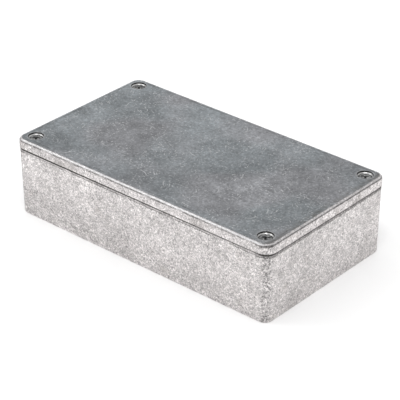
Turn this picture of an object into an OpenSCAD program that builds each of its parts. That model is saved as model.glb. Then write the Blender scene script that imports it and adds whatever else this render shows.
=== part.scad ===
// Die cast aluminium box: a cast base, a cast lid and four countersunk screws.
// Origin at the centre of the underside, X along the length, Y along the width, +Z up.

/* [Outside] */
// Length of the box, over the lid
box_l = 115; // [80:1:200]
// Width of the box, over the lid
box_w = 64; // [50:1:120]
// Height of the closed box
box_h = 30; // [22:1:80]
// Radius of the lid's four corners in plan
corner_r = 3.8; // [3.4:0.1:8]

/* [Lid] */
// Depth of the lid's side edge, from its top face down to the seam
lid_edge_h = 4; // [3.5:0.1:8]
// Thickness of the lid's plate
lid_plate = 2.2; // [1.8:0.1:3]
// Radius of the rounded edge round the lid's top face
lid_top_round = 1.4; // [0.5:0.1:1.6]
// Radius of the rounded edge at the bottom of the lid's side
lid_low_round = 0.4; // [0.2:0.1:0.8]
// How far the lid stands out past the base on each side
lid_overhang = 0.15; // [0.1:0.05:0.6]
// Depth of the locating tongue below the seam
tongue_depth = 1.6; // [0.8:0.1:3]
// Thickness of the locating tongue
tongue_t = 1.4; // [1:0.1:2.5]
// Gap between the tongue and the base, at the walls and at the pillars
tongue_gap = 0.25; // [0.1:0.05:0.5]

/* [Base] */
// Thickness of the side walls at the rim
wall = 2; // [1.5:0.1:3]
// Thickness of the floor
floor_t = 2; // [1.5:0.1:4]
// Draft of the outer walls in degrees
outer_draft = 1; // [0:0.25:2]
// Draft of the inner walls, pillars and ribs in degrees
inner_draft = 1.5; // [0.5:0.25:2]
// Radius of the rounded edge round the underside
base_low_round = 0.5; // [0.3:0.1:2.5]
// Radius of the rounded edge round the rim
rim_round = 0.7; // [0.2:0.1:1.2]
// Radius of the fillet between the floor and the walls inside
floor_fillet = 1; // [0.5:0.1:2]

/* [Screw pillars] */
// Distance of the screws from the ends and sides of the lid
screw_inset = 5.3; // [5:0.1:8]
// Radius of a pillar at the rim
pillar_r = 3.4; // [3:0.1:4.5]
// Depth of the threaded hole in a pillar
thread_depth = 8; // [7:0.5:12]

/* [Screws] */
// Thread diameter, drawn without its turns
thread_d = 3; // [2.5:0.5:3.5]
// Length of thread that a screw has in its pillar
screw_bite = 4.4; // [3:0.1:6]
// Diameter of the head
head_d = 4.8; // [4.4:0.1:5.6]
// Height of the crown of the head above its rim
head_crown = 0.3; // [0.2:0.05:0.5]
// Depth of the head's rim below the top of its countersink
head_drop = 0.4; // [0:0.05:0.6]
// Length of each bar of the cross recess
recess_l = 2.8; // [2.4:0.1:3.4]
// Width of each bar of the cross recess
recess_w = 0.8; // [0.5:0.05:1]
// Depth of the cross recess
recess_depth = 1.3; // [0.8:0.1:1.5]
// Gap between the threaded part and its hole, on the radius
thread_gap = 0.05; // [0.02:0.01:0.1]
// Gap between a head and its countersink
head_gap = 0.05; // [0.02:0.01:0.1]
// Diameter of the clearance hole in the lid
clearance_d = 3.6; // [3.4:0.1:4]
// Depth of the straight wall above a countersink
sink_wall = 0.45; // [0.35:0.05:0.7]

/* [Card guides] */
// Distance from one card slot to the next, with one slot at the middle of the wall
guide_pitch = 15; // [10:1:30]
// Width of a card slot
slot_w = 1.9; // [1.2:0.1:3]
// Width of a guide rib
rib_w = 1.4; // [1:0.1:2]
// Height of a guide rib above the wall, at the rim end
rib_out = 1.5; // [1:0.1:2]
// Gap between the top of a guide rib and the lid's tongue
rib_drop = 1.4; // [0.8:0.1:6]
// Smallest distance from a guide rib to the foot of a screw pillar
rib_margin = 1; // [0.5:0.5:5]

/* [Hidden] */
$fn = 96;

// Heights of the seam and of the cast details that stop under it
seam_z = box_h - lid_edge_h;
rib_top = seam_z - tongue_depth - rib_drop;

// Centres of the plan corners, which the lid and the base share
corner_x = box_l / 2 - corner_r;
corner_y = box_w / 2 - corner_r;
base_r = corner_r - lid_overhang;

// Half length and half width of the hollow at the rim, and of the tongue that fits in it
hollow_x = box_l / 2 - lid_overhang - wall;
hollow_y = box_w / 2 - lid_overhang - wall;
tongue_x = hollow_x - tongue_gap;
tongue_y = hollow_y - tongue_gap;

// Screws: their places, the height of a head's rim, the shank, and the top of a countersink
screw_x = box_l / 2 - screw_inset;
screw_y = box_w / 2 - screw_inset;
head_z = box_h - sink_wall - head_drop;
shank_d = thread_d - 2 * thread_gap;
sink_r = head_d / 2 + head_gap + head_drop;

// Radius of a pillar at the underside, and how many card slots fit on each side of the middle
pillar_low_r = pillar_r + seam_z * tan(inner_draft);
guide_room = screw_x - pillar_low_r - rib_margin - rib_w - slot_w / 2;
guides_aside = floor(guide_room / guide_pitch);

// Length by which a cutting shape runs past the face that it cuts
over = 1;
// How much larger a rounding's arc is drawn, so that it crosses the sides which it would touch
arc_over = 0.001;

// What rounds the foot of a profile at the origin, which lies towards -x and +y and whose side
// leans out by `lean` degrees as it rises: the corner outside an arc of radius r
module edge_cut(r, lean) {
    reach = r * tan(45 - lean / 2);
    side = [reach * sin(lean), reach * cos(lean)];
    difference() {
        polygon([[-reach, -over], [over, -over], side + [over, 0], side, [-reach, r]]);
        translate([-reach, r]) circle(r + arc_over);
    }
}

// Upright profile of a rounded block, from the corner's centre outwards. Its side is at radius r
// at the top, height h, and leans in by `lean` degrees on the way down.
module block_profile(r, h, lean, low_round, top_round) {
    low_r = r - h * tan(lean);
    difference() {
        polygon([[0, 0], [low_r, 0], [r, h], [0, h]]);
        translate([low_r, 0]) edge_cut(low_round, lean);
        translate([r, h]) mirror([0, 1]) edge_cut(top_round, -lean);
    }
}

// Carries an upright profile round the rounded rectangle and fills the middle up to height h
module around_plan(h) {
    for (turn = [0, 180]) rotate(turn) {
        translate([corner_x, corner_y, 0]) rotate_extrude(angle = 90) children();
        translate([-corner_x, corner_y, 0]) rotate(90) rotate_extrude(angle = 90) children();
        translate([corner_x, corner_y, 0]) rotate([90, 0, 0])
            linear_extrude(2 * corner_y) children();
        translate([-corner_x, corner_y, 0]) rotate([90, 0, 90])
            linear_extrude(2 * corner_x) children();
    }
    translate([-corner_x, -corner_y, 0]) cube([2 * corner_x, 2 * corner_y, h]);
}

// Box that is centred in plan and stands on the level of the origin
module centred_box(half_x, half_y, h) {
    translate([-half_x, -half_y, 0]) cube([2 * half_x, 2 * half_y, h]);
}

// Repeats a shape that is drawn for the corner at +x +y in all four corners
module in_corners() {
    for (mx = [0, 1], my = [0, 1]) mirror([mx, 0, 0]) mirror([0, my, 0])
        translate([screw_x, screw_y, 0]) children();
}

// Screw pillar with its round side to the inside of the box, run into both walls of the corner.
// Its radius goes from low_r at the foot to r at the top.
module pillar(low_r, r, h) {
    cylinder(h = h, r1 = low_r, r2 = r);
    for (side = [0, 1]) mirror([side, -side, 0]) rotate([90, 0, 90])
        linear_extrude(screw_inset)
            polygon([[-low_r, 0], [screw_inset, 0], [screw_inset, h], [-r, h]]);
}

module base() {
    color("#c9c8c2") difference() {
        around_plan(seam_z) block_profile(base_r, seam_z, outer_draft, base_low_round, rim_round);
        difference() {
            hollow();
            in_corners() pillar(pillar_low_r, pillar_r, seam_z);
            card_guides();
        }
        in_corners() translate([0, 0, seam_z - thread_depth])
            cylinder(h = thread_depth + over, d = thread_d);
    }
}

// Hollow of the base, open past the rim, with drafted walls and a filleted floor. It is a broad
// cross in plan, whose inner corners lie inside the pillars.
module hollow() {
    translate([0, 0, floor_t]) {
        rotate([90, 0, 0]) linear_extrude(2 * screw_y - pillar_r, center = true)
            hollow_section(hollow_x);
        rotate([90, 0, 90]) linear_extrude(2 * screw_x - pillar_r, center = true)
            hollow_section(hollow_y);
    }
}

// Upright section across the hollow, `half` wide on each side of the middle at the rim
module hollow_section(half) {
    h = seam_z - floor_t;
    low = half - h * tan(inner_draft);
    top = half + over * tan(inner_draft);
    difference() {
        polygon([[-low, 0], [low, 0], [top, h + over], [-top, h + over]]);
        for (side = [0, 1]) mirror([side, 0])
            translate([low, 0]) edge_cut(floor_fillet, inner_draft);
    }
}

// Pairs of round-nosed ribs on both long walls that hold the edges of boards across the box
module card_guides() {
    nose_y = hollow_y - rib_out + rib_w / 2;
    for (side = [0, 1], i = [-guides_aside : guides_aside], edge = [-1, 1])
        mirror([0, side, 0])
            translate([i * guide_pitch + edge * (slot_w + rib_w) / 2, nose_y, 0])
                linear_extrude(rib_top) {
                    translate([-rib_w / 2, 0]) square([rib_w, rib_out]);
                    circle(d = rib_w);
                }
}

module lid() {
    pocket_h = lid_edge_h - lid_plate;
    color("#8f9396") translate([0, 0, seam_z]) difference() {
        union() {
            around_plan(lid_edge_h)
                block_profile(corner_r, lid_edge_h, 0, lid_low_round, lid_top_round);
            tongue();
        }
        translate([0, 0, -tongue_depth - over]) difference() {
            centred_box(tongue_x - tongue_t, tongue_y - tongue_t,
                        tongue_depth + over + pocket_h);
            in_corners() pillar(pillar_r, pillar_r, tongue_depth + over + pocket_h);
        }
        in_corners() screw_hole();
    }
}

// Locating tongue below the seam, cut away round the pillars of the base
module tongue() {
    cut_r = pillar_r + tongue_gap;
    low_cut_r = cut_r + tongue_depth * tan(inner_draft);
    translate([0, 0, -tongue_depth]) difference() {
        centred_box(tongue_x, tongue_y, tongue_depth + over);
        in_corners() pillar(low_cut_r, cut_r, tongue_depth);
    }
}

// Countersunk hole for one screw, drawn from the seam upwards
module screw_hole() {
    sink_z = lid_edge_h - sink_wall;
    translate([0, 0, -over]) cylinder(h = lid_edge_h + over, d = clearance_d);
    translate([0, 0, sink_z - sink_r]) cylinder(h = sink_r, r1 = 0, r2 = sink_r);
    translate([0, 0, sink_z]) cylinder(h = sink_wall + over, r = sink_r);
}

// Countersunk screw with a raised head and a cross recess. Its head is turned by `turn` degrees.
module screw(x, y, turn) {
    screw_l = head_z - seam_z + screw_bite;
    cone_h = (head_d - shank_d) / 2;
    crown_r = (pow(head_d / 2, 2) + pow(head_crown, 2)) / (2 * head_crown);
    color("#d8d8d6") translate([x, y, head_z]) rotate(turn) difference() {
        union() {
            translate([0, 0, -screw_l]) cylinder(h = screw_l, d = shank_d);
            translate([0, 0, -cone_h]) cylinder(h = cone_h, d1 = shank_d, d2 = head_d);
            intersection() {
                cylinder(h = head_crown + over, d = head_d);
                translate([0, 0, head_crown - crown_r]) sphere(crown_r);
            }
        }
        translate([0, 0, head_crown - recess_depth]) cross_recess();
    }
}

// Two crossed bars that narrow towards the bottom of the recess
module cross_recess() {
    half = recess_l / 2;
    for (bar = [0, 90]) rotate([90, 0, bar]) linear_extrude(recess_w, center = true)
        polygon([[-half / 2, 0], [half / 2, 0], [half, recess_depth],
                 [half, recess_depth + over], [-half, recess_depth + over],
                 [-half, recess_depth]]);
}

module screw_front_left() { screw(-screw_x, -screw_y, 40); }
module screw_front_right() { screw(screw_x, -screw_y, 32); }
module screw_back_left() { screw(-screw_x, screw_y, 47); }
module screw_back_right() { screw(screw_x, screw_y, 42); }

base();
lid();
screw_front_left();
screw_front_right();
screw_back_left();
screw_back_right();
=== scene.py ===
"""Looks of the die cast aluminium box: ground lid, tumbled casting, sunk screws, pale studio."""

from functools import reduce
import math

import bpy
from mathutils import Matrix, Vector


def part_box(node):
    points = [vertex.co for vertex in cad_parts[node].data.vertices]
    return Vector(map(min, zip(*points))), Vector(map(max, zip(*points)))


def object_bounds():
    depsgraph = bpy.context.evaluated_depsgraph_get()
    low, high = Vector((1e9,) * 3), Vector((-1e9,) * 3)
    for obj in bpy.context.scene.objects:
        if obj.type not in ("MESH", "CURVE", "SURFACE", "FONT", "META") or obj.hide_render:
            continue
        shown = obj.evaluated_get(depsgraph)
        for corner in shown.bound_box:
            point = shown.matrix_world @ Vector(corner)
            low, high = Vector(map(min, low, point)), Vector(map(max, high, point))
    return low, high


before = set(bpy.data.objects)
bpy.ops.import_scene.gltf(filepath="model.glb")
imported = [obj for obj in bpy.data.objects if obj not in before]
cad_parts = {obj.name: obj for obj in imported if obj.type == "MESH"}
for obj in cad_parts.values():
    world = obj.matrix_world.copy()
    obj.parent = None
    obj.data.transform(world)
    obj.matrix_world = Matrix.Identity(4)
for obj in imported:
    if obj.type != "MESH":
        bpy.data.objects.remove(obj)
cad_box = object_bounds()

MM = 0.001

# Places on the box, read from the parts in model.glb
LOW, HIGH = cad_box
TOP_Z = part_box("lid")[1].z
SEAM_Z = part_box("base")[1].z
SCREW_LOW, SCREW_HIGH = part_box("screw_front_right")
SCREW_X = (SCREW_LOW.x + SCREW_HIGH.x) / 2
SCREW_Y = -(SCREW_LOW.y + SCREW_HIGH.y) / 2

# The four upright corners: how far from the box's sides their zone starts, and where it is full
CORNER_START = 8 * MM
CORNER_FULL = 3 * MM

# Screw holes in the lid: the radius that holds a whole recess, the worn ring round it on the
# lid's face, and the depths between which the upright wall turns into the cone
RECESS_R = 3.2 * MM
HOLE_RING_R = 3.15 * MM
WALL_END = 0.48 * MM
CONE_START = 0.6 * MM

# Screw heads: the radii between which the head turns darker towards its rim, and the depths below
# the lid's face between which the cross recess turns dark with painted shade
HEAD_PLAIN_R = 1.8 * MM
HEAD_DARK_R = 2.35 * MM
SLOT_LIGHT = 0.95 * MM
SLOT_DARK = 1.25 * MM

# The dark line on the lid's face: how far inside the rim it runs
TRACE_INSET = 2.0 * MM

# The seam: how far above the base's rim its line is centred, and how far below the rim a faint
# second line lies
SEAM_RISE = 0.06 * MM
SECOND_LINE = 0.88 * MM

# The lid's rounded edge: the normal's upward part at the rubbed, painted highlight, and at the dirt
# and painted dark reflection under it
BRIGHT_UP = 0.74
DARK_LINE_UP = 0.42

# Where along X the noise of the lid's clouds, tint and smudges is taken
CLOUD_START = 280 * MM
TINT_START = 220 * MM
SMUDGE_START = 40 * MM

# Kinds of scratch on the lid, sizes in millimetres
SCRATCHES = (
    {"cell": 2.4, "length": 1.7, "width": 0.19, "start": 0, "level": 0.95},
    {"cell": 7.0, "length": 5.0, "width": 0.19, "start": 40, "level": 0.9},
    {"cell": 1.3, "length": 1.2, "width": 0.17, "start": 80, "level": 0.55},
)

# Colours
CAST = (0.655, 0.629, 0.625)
CAST_STAIN = (0.42, 0.378, 0.350)
# Dirt and painted shade in the seam's groove and under the lid's overhang
GRIME_AND_SHADE = (0.035, 0.031, 0.028)
# The lid's ground top, darker than the casting partly as painted shade
GROUND_SHADED_BLUE = (0.440, 0.473, 0.497)
GROUND_SHADED_GREY = (0.467, 0.473, 0.496)
SCRATCHED = (0.90, 0.91, 0.92)
TRACE = (0.14, 0.14, 0.14)
# The lid's rubbed edge, brighter and smoother as a painted highlight
RUBBED_HIGHLIGHT = (0.68, 0.68, 0.69)
# Dirt and a painted dark reflection just under the lid's edge highlight
EDGE_DIRT_AND_DARK_REFLECTION = (0.05, 0.047, 0.044)
END_DIRT = (0.24, 0.225, 0.205)
SMUDGE = (0.20, 0.18, 0.155)
HOLE_RING = (0.75, 0.75, 0.75)
# Painted shade on the upright wall of a screw recess
HOLE_WALL_SHADE = (0.05, 0.048, 0.046)
HOLE_CONE = (0.64, 0.64, 0.635)
STEEL_DARK = (0.27, 0.273, 0.276)
STEEL_LIGHT = (0.60, 0.60, 0.595)
# Painted shade in the cross recess, and the darker rim of the head
SLOT_SHADE_RIM_DARK = (0.05, 0.05, 0.048)
FLOOR = (0.95, 0.95, 0.95)

# Level of the light from all round that falls on plain surfaces
AMBIENT = 0.92

# What is seen and mirrored all round: height of the direction, and its grey level
SURROUNDINGS = ((0.10, 1.0), (0.30, 0.50), (0.50, 0.44), (0.80, 0.38))

# Lamps: name, azimuth and elevation in degrees, width and height in metres, power in watts
LAMP_DISTANCE = 1.2
LAMPS = (
    ("key_left", -57, 47, (0.45, 0.4), 2.6),
    ("fill_back", 157, 45, (0.45, 0.4), 1.0),
    ("top_light", 41, 61, (0.5, 0.4), 3.0),
)

# Camera: its angles in degrees, its distance from the box's centre and its slide to the right
# and upwards in metres, and its lens in millimetres
CAMERA_AZIMUTH = 40.99
CAMERA_ELEVATION = 29.77
CAMERA_DISTANCE = 0.618
CAMERA_SLIDE = (0.00093, -0.00257)
CAMERA_LENS = 158.9

# Floor: half its side, how far it lies below the box, and how close to it a ray may start and
# still pass through, because the underside of the box lies on it
FLOOR_HALF = 4.0
FLOOR_DROP = 0.02 * MM
FLOOR_TOUCH = 1.0 * MM


class Nodes:
    """The node tree of one material or world. A value is a socket or a number."""

    def __init__(self, tree):
        self.tree = tree

    def add(self, kind, **settings):
        """Adds a node and sets its properties."""
        node = self.tree.nodes.new("ShaderNode" + kind)
        for name, value in settings.items():
            setattr(node, name, value)
        return node

    def put(self, value, socket):
        """Sets a socket to a number, a colour or a vector, or links it."""
        if isinstance(value, (int, float)):
            socket.default_value = value
        elif isinstance(value, tuple):
            socket.default_value = (*value, 1.0) if socket.type == "RGBA" else value
        else:
            self.tree.links.new(value, socket)

    def math(self, operation, a, b=0.0):
        """One Math node."""
        node = self.add("Math", operation=operation)
        self.put(a, node.inputs[0])
        self.put(b, node.inputs[1])
        return node.outputs[0]

    def times(self, *values):
        """The product of the values."""
        return reduce(lambda a, b: self.math("MULTIPLY", a, b), values)

    def most(self, *values):
        """The largest of the values."""
        return reduce(lambda a, b: self.math("MAXIMUM", a, b), values)

    def plus(self, a, b):
        """The sum of two values."""
        return self.math("ADD", a, b)

    def minus(self, a, b):
        """The first value less the second."""
        return self.math("SUBTRACT", a, b)

    def rest(self, value):
        """What a share leaves of 1."""
        return self.math("SUBTRACT", 1.0, value)

    def size(self, value):
        """A value without its sign."""
        return self.math("ABSOLUTE", value)

    def fade(self, value, start, end, levels=(0.0, 1.0)):
        """Goes softly from one level to another as the value goes from start to end."""
        node = self.add("MapRange", interpolation_type="SMOOTHSTEP")
        for socket, number in zip(node.inputs, (value, start, end, *levels)):
            self.put(number, socket)
        return node.outputs["Result"]

    def stripe(self, value, middle, core, reach, level=1.0):
        """This level within `core` of the middle, fading softly to 0 at `reach`."""
        return self.fade(self.size(self.minus(value, middle)), core, reach, (level, 0.0))

    def noise(self, point, size, detail=2.0, roughness=0.5, warp=0.0):
        """Noise from 0 to 1 whose features are about this size, in millimetres."""
        node = self.add("TexNoise")
        self.put(point, node.inputs["Vector"])
        node.inputs["Scale"].default_value = 1.0 / (size * MM)
        node.inputs["Detail"].default_value = detail
        node.inputs["Roughness"].default_value = roughness
        node.inputs["Distortion"].default_value = warp
        return node.outputs["Fac"]

    def patches(self, point, size, between, levels=(0.0, 1.0), **noise):
        """Patches of about this size, with soft edges where the noise is between two values."""
        return self.fade(self.noise(point, size, **noise), *between, levels)

    def swing(self, value, amount):
        """Turns noise into a factor that swings round 1 by this amount."""
        node = self.add("MapRange", clamp=False)
        for socket, number in zip(node.inputs, (value, 0.25, 0.75, 1 - amount, 1 + amount)):
            self.put(number, socket)
        return node.outputs["Result"]

    def vector(self, operation, a, b):
        """One Vector Math node."""
        node = self.add("VectorMath", operation=operation)
        self.put(a, node.inputs[0])
        self.put(b, node.inputs[1])
        return node.outputs["Vector"]

    def moved(self, point, along_x):
        """A point moved along X."""
        return self.vector("ADD", point, (along_x, 0.0, 0.0))

    def split(self, vector):
        """The X, Y and Z of a vector."""
        node = self.add("SeparateXYZ")
        self.put(vector, node.inputs[0])
        return node.outputs

    def mix(self, factor, a, b, kind="RGBA"):
        """Mixes two colours, or two vectors if the kind is VECTOR."""
        node = self.add("Mix", data_type=kind)
        ends = [s for s in node.inputs if s.type == kind and s.enabled]
        self.put(factor, node.inputs[0])
        self.put(a, ends[0])
        self.put(b, ends[1])
        return [s for s in node.outputs if s.enabled][0]

    def scale(self, colour, factor):
        """A colour times a factor."""
        node = self.add("VectorMath", operation="SCALE")
        self.put(colour, node.inputs[0])
        self.put(factor, node.inputs["Scale"])
        return node.outputs["Vector"]

    def bump(self, height, depth, strength, below=None):
        """A bump this many millimetres deep, on top of another bump if one is given."""
        node = self.add("Bump")
        self.put(height, node.inputs["Height"])
        node.inputs["Distance"].default_value = depth * MM
        node.inputs["Strength"].default_value = strength
        if below is not None:
            self.put(below, node.inputs["Normal"])
        return node.outputs["Normal"]


# Parts of materials. A finish is its colour, its roughness and its normal.

def new_material(name):
    """A metal, with its nodes and its Principled shader."""
    material = bpy.data.materials.new(name)
    material.use_nodes = True
    shader = material.node_tree.nodes["Principled BSDF"]
    shader.inputs["Metallic"].default_value = 1.0
    return material, Nodes(material.node_tree), shader


def place_and_normal(n):
    """The point on the object, its X, Y and Z, and those of the normal there."""
    geometry = n.add("NewGeometry")
    point, normal = geometry.outputs["Position"], geometry.outputs["Normal"]
    return point, n.split(point), n.split(normal)


def corner_zone(n, axes):
    """1 at the four upright corners, 0 along the walls."""
    near_end = n.fade(n.size(axes["X"]), HIGH.x - CORNER_START, HIGH.x - CORNER_FULL)
    near_side = n.fade(n.size(axes["Y"]), HIGH.y - CORNER_START, HIGH.y - CORNER_FULL)
    return n.times(near_end, near_side)


def diagonal(n, facing):
    """0 on a wall that faces along X or Y, up to 0.5 in the middle of an upright corner."""
    return n.size(n.times(facing["X"], facing["Y"]))


def from_screw(n, axes):
    """The distance from the axis of the nearest screw."""
    across = n.minus(n.size(axes["X"]), SCREW_X)
    along = n.minus(n.size(axes["Y"]), SCREW_Y)
    return n.math("SQRT", n.plus(n.times(across, across), n.times(along, along)))


def dull(n, shader, dirt_and_shade):
    """Where the seam's dirt and painted shade lie the metal neither mirrors nor shines."""
    unmarked = n.rest(dirt_and_shade)
    n.put(unmarked, shader.inputs["Metallic"])
    n.put(n.times(unmarked, 0.5), shader.inputs["Specular IOR Level"])


def scratches(n, point, cell, length, width, start, level):
    """Short bent scratches in every direction, about one to a cell, each of its own strength."""
    moved = n.moved(point, start * MM)
    pattern = n.add("TexVoronoi", voronoi_dimensions="2D")
    n.put(moved, pattern.inputs["Vector"])
    pattern.inputs["Scale"].default_value = 1.0 / (cell * MM)
    local = n.split(n.vector("SUBTRACT", moved, pattern.outputs["Position"]))
    chance = n.split(pattern.outputs["Color"])
    turn = n.times(chance["X"], math.tau)
    cos, sin = n.math("COSINE", turn), n.math("SINE", turn)
    along = n.plus(n.times(local["X"], cos), n.times(local["Y"], sin))
    across = n.minus(n.times(local["Y"], cos), n.times(local["X"], sin))
    across = n.plus(across, n.times(along, along, 0.12 / MM))
    line = n.stripe(across, 0.0, 0.3 * width * MM, width * MM)
    reach = n.stripe(along, 0.0, 0.2 * length * MM, 0.5 * length * MM)
    return n.times(line, reach, n.fade(chance["Y"], 0.35, 1.0), level)


def seam_grime_and_shade(n, point, axes, facing):
    """How dark a point is from the seam, dirt and painted shade: a tight line in the groove, and
    under it a faint one and smears.
    """
    depth = n.minus(SEAM_Z, axes["Z"])
    torn = n.plus(depth, n.times(n.minus(n.noise(point, 0.8), 0.5), 1.0 * MM))
    wander = n.noise(point, 9.0)
    corner = corner_zone(n, axes)
    at_end = n.fade(n.size(facing["X"]), 0.25, 0.8, levels=(0.0, 0.85))

    open_share = n.most(n.fade(axes["X"], -0.8 * SCREW_X, SCREW_X, levels=(1.0, 0.7)), corner)
    line = n.stripe(depth, -SEAM_RISE, core=0.24 * MM, reach=n.times(open_share, 0.52 * MM))
    line = n.times(line, open_share)

    second = n.stripe(torn, SECOND_LINE, core=0.08 * MM, reach=0.28 * MM, level=0.8)
    shown = n.most(n.fade(wander, 0.35, 0.55, levels=(0.35, 0.85)), corner, at_end)
    second = n.times(second, shown)

    # Smears of dirt and painted shade under the lid's overhang
    smear_and_shade = n.fade(torn, 0.1 * MM, 1.7 * MM, levels=(0.8, 0.0))
    below = n.math("GREATER_THAN", depth, 0.0)
    spread = n.most(n.fade(wander, 0.5, 0.72, levels=(0.0, 0.6)), at_end, n.times(corner, 0.6))
    grain = n.patches(point, 0.55, between=(0.3, 0.6), levels=(0.6, 1.15))
    smear_and_shade = n.times(smear_and_shade, below, spread, grain)
    return n.most(line, second, smear_and_shade)


def casting(n, point, axes, facing):
    """The finish of the tumbled casting: speckle, clouds, stains and pits, with a painted dark
    reflection on its upright corners and painted shade low down.
    """
    fine = n.noise(point, 0.40, roughness=0.6)
    worm = n.noise(point, 0.75, roughness=0.55, warp=1.2)
    pit = n.noise(point, 0.6, detail=1.0)
    # Painted dark reflection: the upright corners are speckled darker
    dark_corners = n.times(n.fade(diagonal(n, facing), 0.1, 0.45),
                     n.fade(pit, 0.45, 0.62, levels=(0.03, 0.45)))
    level = n.times(
        n.swing(fine, 0.38),
        n.swing(worm, 0.46),
        n.swing(n.noise(point, 3.4), 0.13),
        n.swing(n.noise(point, 16.0), 0.09),
        # Painted shade: darker towards the bottom
        n.fade(axes["Z"], 0.0, 14 * MM, levels=(0.93, 1.0)),
        n.fade(pit, 0.62, 0.72, levels=(1.0, 0.7)),
        n.rest(dark_corners))
    stain = n.patches(point, 6.0, between=(0.58, 0.80), levels=(0.0, 0.35),
                      detail=3.0, roughness=0.6)
    colour = n.mix(stain, n.scale(CAST, level), CAST_STAIN)
    rough = n.fade(worm, 0.3, 0.7, levels=(0.68, 0.52))
    normal = n.bump(fine, 0.05, 0.5, below=n.bump(worm, 0.10, 0.5))
    return colour, rough, normal


def ground_face(n, point):
    """The finish of the lid's ground top: mottled, clouded, scratched and specked, and darker than
    the casting partly for the ground finish and partly as painted shade.
    """
    fine = n.noise(point, 0.55, roughness=0.6)
    mottle = n.noise(point, 1.2, warp=0.6)
    cloud = n.noise(point, 5.0, detail=3.0)
    wide = n.noise(n.moved(point, CLOUD_START), 19.0, detail=4.0, roughness=0.55)
    level = n.times(n.swing(fine, 0.20), n.swing(mottle, 0.24), n.swing(cloud, 0.15),
                    n.swing(wide, 0.35))
    tint = n.patches(n.moved(point, TINT_START), 30.0, between=(0.40, 0.62), detail=1.0)
    colour = n.scale(n.mix(tint, GROUND_SHADED_BLUE, GROUND_SHADED_GREY), level)
    specks = n.patches(point, 0.7, between=(0.64, 0.71), levels=(0.0, 0.9), detail=1.0)
    marks = n.most(specks, *[scratches(n, point, **kind) for kind in SCRATCHES])
    crowd = n.patches(point, 8.0, between=(0.40, 0.62), levels=(0.5, 1.25), detail=1.0)
    colour = n.mix(n.times(marks, crowd), colour, SCRATCHED)
    rough = n.fade(mottle, 0.3, 0.7, levels=(0.40, 0.50))
    normal = n.bump(fine, 0.02, 0.35, below=n.bump(mottle, 0.03, 0.35))
    return colour, rough, normal


def lid_top(n, point, axes):
    """The ground top, with the dirt at its right end and the dark line inside its rim."""
    colour, rough, normal = ground_face(n, point)
    end_dirt = n.times(
        n.fade(n.minus(HIGH.x, axes["X"]), 1.2 * MM, 3.8 * MM, levels=(0.62, 0.0)),
        n.patches(point, 2.2, between=(0.38, 0.6), levels=(0.25, 1.0)))
    colour = n.mix(end_dirt, colour, END_DIRT)
    inset = n.math("MINIMUM", n.minus(HIGH.x, n.size(axes["X"])),
                   n.minus(HIGH.y, n.size(axes["Y"])))
    trace = n.times(
        n.stripe(inset, TRACE_INSET, core=0.1 * MM, reach=0.4 * MM, level=0.5),
        n.patches(point, 14.0, between=(0.5, 0.62)))
    return n.mix(trace, colour, TRACE), rough, normal


def lid_side(n, point, axes, facing):
    """The cast side of the lid, a little lighter than the base, with brown smudges low down."""
    colour, rough, normal = casting(n, point, axes, facing)
    smudge = n.times(
        n.patches(n.moved(point, SMUDGE_START), 9.0, between=(0.55, 0.68), levels=(0.0, 0.26)),
        n.fade(axes["Z"], SEAM_Z + 1.2 * MM, SEAM_Z + 3.4 * MM, levels=(1.0, 0.35)))
    return n.mix(smudge, n.scale(colour, 1.04), SMUDGE), rough, normal


def edge_wear_and_reflections(n, point, axes, facing):
    """How bright the lid's rounded edge is rubbed, with a painted highlight, and how dark it is
    just under that, with dirt and a painted dark reflection.
    """
    up = facing["Z"]
    at_end = n.fade(n.size(facing["X"]), 0.15, 0.5)
    bright_patches = n.patches(point, 0.8, between=(0.35, 0.6), levels=(0.3, 1.0))
    # A painted highlight on the rubbed band of the edge
    bright = n.times(
        n.stripe(up, BRIGHT_UP, core=0.05, reach=0.2, level=0.85),
        n.most(bright_patches, n.rest(at_end)),
        n.rest(n.times(at_end, 0.35)))

    # The dirt and painted dark reflection are thickest at the front right corner
    corner = n.times(
        corner_zone(n, axes),
        n.fade(axes["Y"], 0.0, 0.8 * LOW.y, levels=(0.1, 1.0)),
        n.fade(axes["X"], -SCREW_X, 0.0, levels=(0.1, 1.0)),
        n.fade(diagonal(n, facing), 0.03, 0.22, levels=(0.15, 1.0)))
    broken = n.patches(point, 0.8, between=(0.36, 0.56), levels=(0.35, 0.95))
    strength = n.most(
        n.patches(point, 5.0, between=(0.35, 0.65), levels=(0.12, 0.55)),
        n.times(at_end, 0.65),
        n.times(corner, broken))
    # Dirt and a painted dark reflection in a band under the highlight
    dark_line = n.stripe(up, n.plus(DARK_LINE_UP, n.times(at_end, 0.1)), core=0.05,
                     reach=n.plus(0.22, n.times(corner, 0.2)))
    return bright, n.times(dark_line, strength)


# Materials

def cast_material():
    """The base casting, with dirt and painted shade in the seam at its rim."""
    material, n, shader = new_material("cast_aluminium")
    point, axes, facing = place_and_normal(n)
    colour, rough, normal = casting(n, point, axes, facing)
    seam_dirt_and_shade = seam_grime_and_shade(n, point, axes, facing)
    n.put(n.mix(seam_dirt_and_shade, colour, GRIME_AND_SHADE), shader.inputs["Base Color"])
    n.put(n.plus(rough, n.times(seam_dirt_and_shade, 0.15)), shader.inputs["Roughness"])
    n.put(normal, shader.inputs["Normal"])
    dull(n, shader, seam_dirt_and_shade)
    return material


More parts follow.
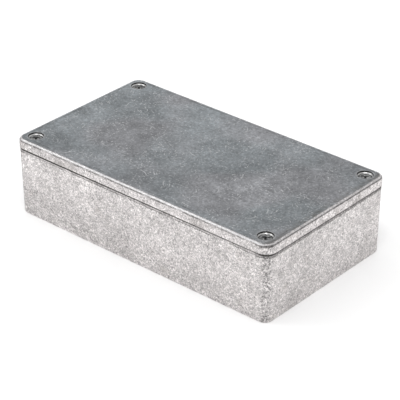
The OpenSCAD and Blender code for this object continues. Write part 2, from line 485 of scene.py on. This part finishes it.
def lid_material():
    """The lid: ground top partly painted darker as shade, a painted highlight and painted dark
    reflection on its worn edge, cast sides, machined screw recesses with painted shade on their
    upright walls.
    """
    material, n, shader = new_material("ground_aluminium")
    point, axes, facing = place_and_normal(n)
    is_top = n.fade(facing["Z"], 0.90, 0.985)
    top_colour, top_rough, top_normal = lid_top(n, point, axes)
    side_colour, side_rough, side_normal = lid_side(n, point, axes, facing)
    bright, dark_line = edge_wear_and_reflections(n, point, axes, facing)
    # Dirt and painted shade in the seam's groove under the lid's edge
    seam = seam_grime_and_shade(n, point, axes, facing)
    colour = n.mix(is_top, side_colour, top_colour)
    for amount, paint in ((bright, RUBBED_HIGHLIGHT), (dark_line, EDGE_DIRT_AND_DARK_REFLECTION), (seam, GRIME_AND_SHADE)):
        colour = n.mix(amount, colour, paint)

    reach = from_screw(n, axes)
    ring = n.stripe(reach, HOLE_RING_R, core=0.1 * MM, reach=0.35 * MM, level=0.3)
    colour = n.mix(n.times(ring, is_top), colour, HOLE_RING)
    # In a screw recess the upright wall is painted dark as shade, and the cone below keeps its
    # colour
    in_recess = n.times(n.math("LESS_THAN", reach, RECESS_R),
                        n.math("LESS_THAN", facing["Z"], 0.9))
    on_cone = n.fade(n.minus(TOP_Z, axes["Z"]), WALL_END, CONE_START)
    colour = n.mix(in_recess, colour, n.mix(on_cone, HOLE_WALL_SHADE, HOLE_CONE))
    n.put(colour, shader.inputs["Base Color"])

    rough = n.most(n.times(side_rough, n.rest(is_top)), n.times(top_rough, is_top))
    rough = n.minus(n.minus(rough, n.times(bright, 0.14)), n.times(in_recess, 0.1))
    n.put(rough, shader.inputs["Roughness"])
    n.put(n.mix(is_top, side_normal, top_normal, kind="VECTOR"), shader.inputs["Normal"])
    dull(n, shader, seam)
    return material


def screw_material():
    """Dulled plated steel, with painted shade down in the cross recess, and darker towards the rim
    of the head.
    """
    material, n, shader = new_material("screw_steel")
    point, axes, _ = place_and_normal(n)
    fine = n.noise(point, 0.3)
    blotch = n.patches(point, 0.9, between=(0.38, 0.6), detail=1.0)
    colour = n.scale(n.mix(blotch, STEEL_DARK, STEEL_LIGHT), n.swing(fine, 0.4))
    # Darker towards the head's rim, and painted shade down in the cross recess
    rim = n.fade(from_screw(n, axes), HEAD_PLAIN_R, HEAD_DARK_R, levels=(0.0, 0.75))
    slot = n.fade(axes["Z"], TOP_Z - SLOT_DARK, TOP_Z - SLOT_LIGHT, levels=(0.9, 0.0))
    n.put(n.mix(n.most(rim, slot), colour, SLOT_SHADE_RIM_DARK), shader.inputs["Base Color"])
    n.put(n.fade(fine, 0.3, 0.7, levels=(0.45, 0.58)), shader.inputs["Roughness"])
    n.put(n.bump(fine, 0.012, 0.4), shader.inputs["Normal"])
    return material


def dress(node, material):
    """Gives a CAD node one material in every slot."""
    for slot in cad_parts[node].material_slots:
        slot.material = material


# Studio

def outward(azimuth, elevation):
    """The direction from the box at these angles, in degrees; azimuth 0 looks along +Y."""
    a, e = math.radians(azimuth), math.radians(elevation)
    return Vector((math.sin(a) * math.cos(e), -math.cos(a) * math.cos(e), math.sin(e)))


def aim(thing, back):
    """Puts a lamp or a camera in the scene, turned to look along the reverse of `back`."""
    thing.rotation_euler = back.to_track_quat("Z", "Y").to_euler()
    bpy.context.collection.objects.link(thing)


def build_world():
    """What is seen and mirrored is white at the horizon and greyer overhead; the light is plain."""
    world = bpy.data.worlds.new("studio")
    bpy.context.scene.world = world
    world.use_nodes = True
    world.node_tree.nodes.clear()
    n = Nodes(world.node_tree)
    height = n.split(n.add("TexCoord").outputs["Generated"])["Z"]
    ramp = n.add("ValToRGB")
    marks = ramp.color_ramp.elements
    while len(marks) < len(SURROUNDINGS):
        marks.new(0.5)
    for mark, (place, level) in zip(marks, SURROUNDINGS):
        mark.position = place
        mark.color = (level, level, level, 1.0)
    n.put(height, ramp.inputs["Fac"])
    shown, light = n.add("Background"), n.add("Background")
    n.put(ramp.outputs["Color"], shown.inputs["Color"])
    light.inputs["Color"].default_value = (1, 1, 1, 1)
    light.inputs["Strength"].default_value = AMBIENT
    path = n.add("LightPath").outputs
    mix, out = n.add("MixShader"), n.add("OutputWorld")
    n.put(n.most(path["Is Camera Ray"], path["Is Glossy Ray"], path["Is Transmission Ray"]),
          mix.inputs[0])
    n.put(light.outputs[0], mix.inputs[1])
    n.put(shown.outputs[0], mix.inputs[2])
    n.put(mix.outputs[0], out.inputs["Surface"])


def floor_material():
    """Plain and pale, and clear from below and to rays that start close to it."""
    material, n, shader = new_material("floor_white")
    shader.inputs["Metallic"].default_value = 0.0
    shader.inputs["Base Color"].default_value = (*FLOOR, 1.0)
    shader.inputs["Roughness"].default_value = 0.9
    touching = n.math("LESS_THAN", n.add("LightPath").outputs["Ray Length"], FLOOR_TOUCH)
    from_below = n.add("NewGeometry").outputs["Backfacing"]
    mix = n.add("MixShader")
    n.put(n.most(from_below, touching), mix.inputs[0])
    n.put(shader.outputs[0], mix.inputs[1])
    n.put(n.add("BsdfTransparent").outputs[0], mix.inputs[2])
    n.put(mix.outputs[0], material.node_tree.nodes["Material Output"].inputs["Surface"])
    return material


def build_floor():
    """A wide square under the box."""
    mesh = bpy.data.meshes.new("floor")
    corners = [(x * FLOOR_HALF, y * FLOOR_HALF, 0) for x, y in ((-1, -1), (1, -1), (1, 1), (-1, 1))]
    mesh.from_pydata(corners, [], [(0, 1, 2, 3)])
    mesh.materials.append(floor_material())
    floor = bpy.data.objects.new("floor", mesh)
    floor.location.z = LOW.z - FLOOR_DROP
    bpy.context.collection.objects.link(floor)


def build_lamp(name, azimuth, elevation, size, watts):
    """A rectangular soft lamp that faces the box."""
    data = bpy.data.lights.new(name, "AREA")
    data.shape = "RECTANGLE"
    data.size, data.size_y = size
    data.energy = watts
    lamp = bpy.data.objects.new(name, data)
    back = outward(azimuth, elevation)
    lamp.location = back * LAMP_DISTANCE
    aim(lamp, back)


def build_camera():
    """The camera looks at the middle of the box, slid sideways to frame it."""
    back = outward(CAMERA_AZIMUTH, CAMERA_ELEVATION)
    right = (-back).cross(Vector((0, 0, 1))).normalized()
    up = right.cross(-back)
    data = bpy.data.cameras.new("camera")
    data.sensor_width = 36.0
    data.lens = CAMERA_LENS
    data.clip_start, data.clip_end = 0.01, 50
    camera = bpy.data.objects.new("camera", data)
    slide_right, slide_up = CAMERA_SLIDE
    centre = (LOW + HIGH) / 2
    camera.location = centre + back * CAMERA_DISTANCE + right * slide_right + up * slide_up
    aim(camera, back)
    bpy.context.scene.camera = camera


dress("base", cast_material())
dress("lid", lid_material())
steel = screw_material()
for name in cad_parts:
    if name.startswith("screw"):
        dress(name, steel)

build_world()
build_floor()
for lamp in LAMPS:
    build_lamp(*lamp)
build_camera()
bpy.context.scene.view_settings.view_transform = "Standard"
